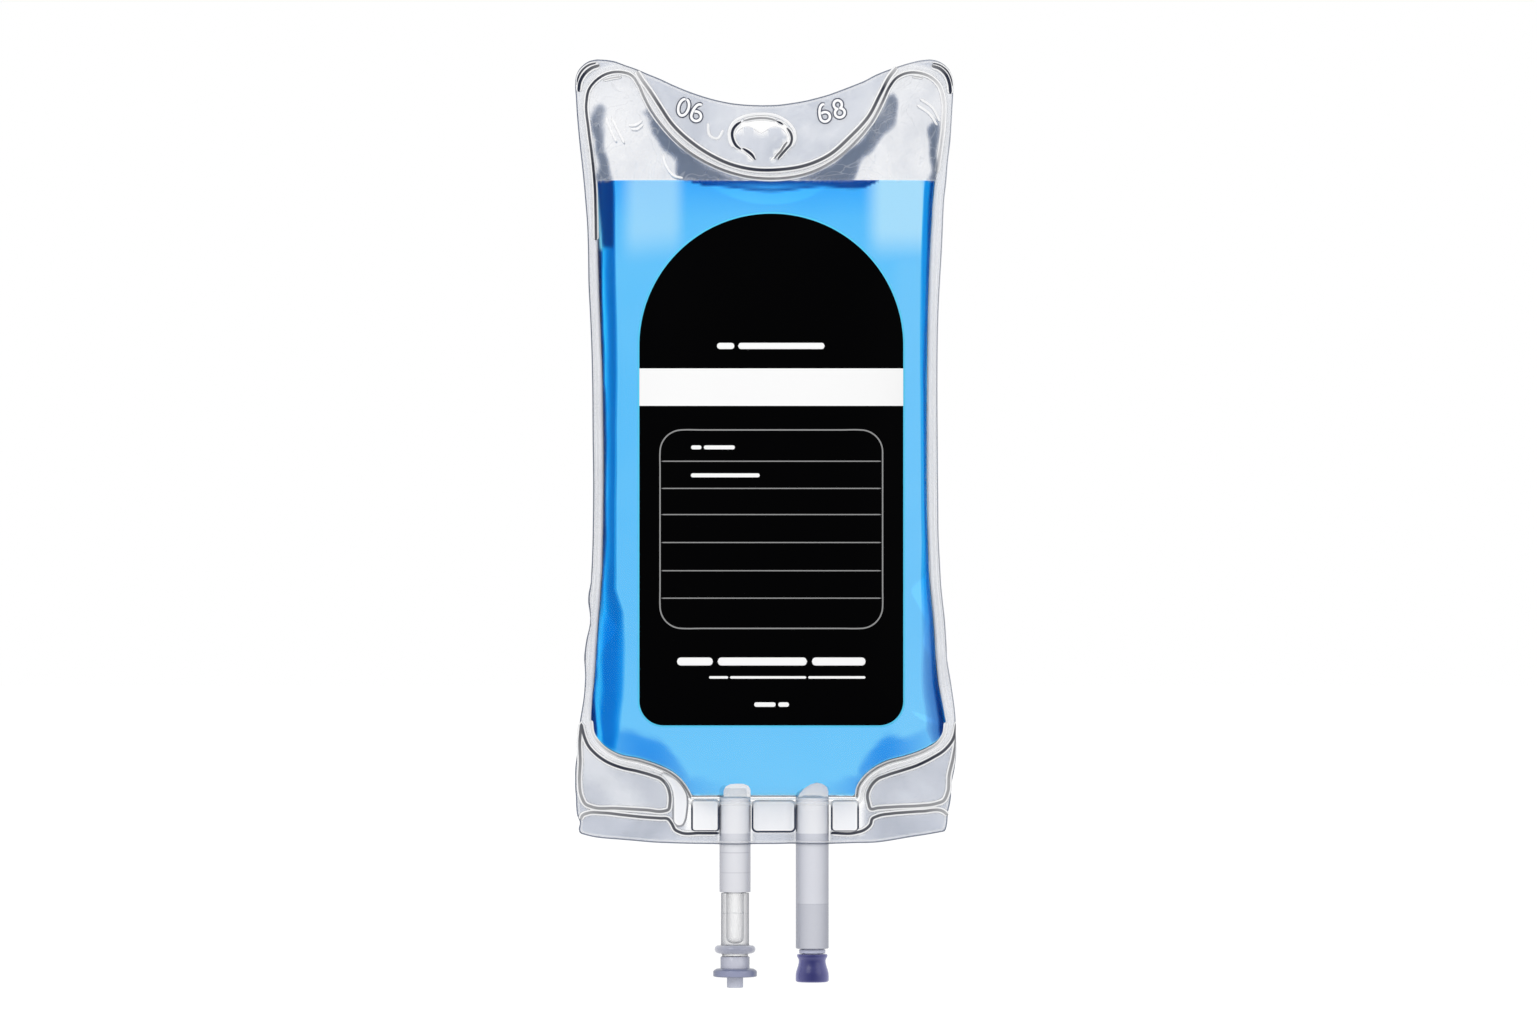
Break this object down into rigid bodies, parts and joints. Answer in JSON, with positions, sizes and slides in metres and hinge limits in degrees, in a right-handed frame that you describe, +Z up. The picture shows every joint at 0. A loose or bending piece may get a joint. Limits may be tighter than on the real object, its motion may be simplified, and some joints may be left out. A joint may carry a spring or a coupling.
{
  "type": "iv fluid bag",
  "caption": "Clear film bag of blue infusion fluid with a black printed label, a hanging eyelet, a capped injection port and a spike port under a pull-off cap.",
  "frame": {"origin": "middle of the upper edge of the hanging eyelet, where the hook bears, in the plane where the two films meet", "axes": "+Z up along the hanging bag, -Y out of the printed front, +X to the right of someone who reads the label"},
  "size_m": [0.149, 0.0511, 0.3623],
  "materials": {
    "clear_film": "glossy, clear",
    "blue_fluid": "clear blue liquid",
    "black_print": "matt print",
    "white_print": "matt print",
    "milky_tube": "translucent, soft gloss",
    "clear_moulding": "glossy, clear",
    "grey_moulding": "glossy, translucent grey",
    "septum_rubber": "satin",
    "violet_cap": "glossy"
  },
  "bodies": {
    "bag": {"front_film": "clear_film", "back_film": "clear_film", "fluid": "blue_fluid", "label": "black_print", "label_band": "white_print", "injection_port_tube": "milky_tube", "injection_port_body": "clear_moulding", "injection_port_collar": "grey_moulding", "injection_port_septum": "septum_rubber", "spike_port_tube": "milky_tube", "spike_port_body": "clear_moulding"},
    "pull_off_cap": {"spike_port_cap": "violet_cap"}
  },
  "joints": [
    {"name": "cap_pull", "type": "slide", "parent": "bag", "child": "pull_off_cap", "axis": [0, 0, -1], "range_m": [0, 0.03]}
  ]
}
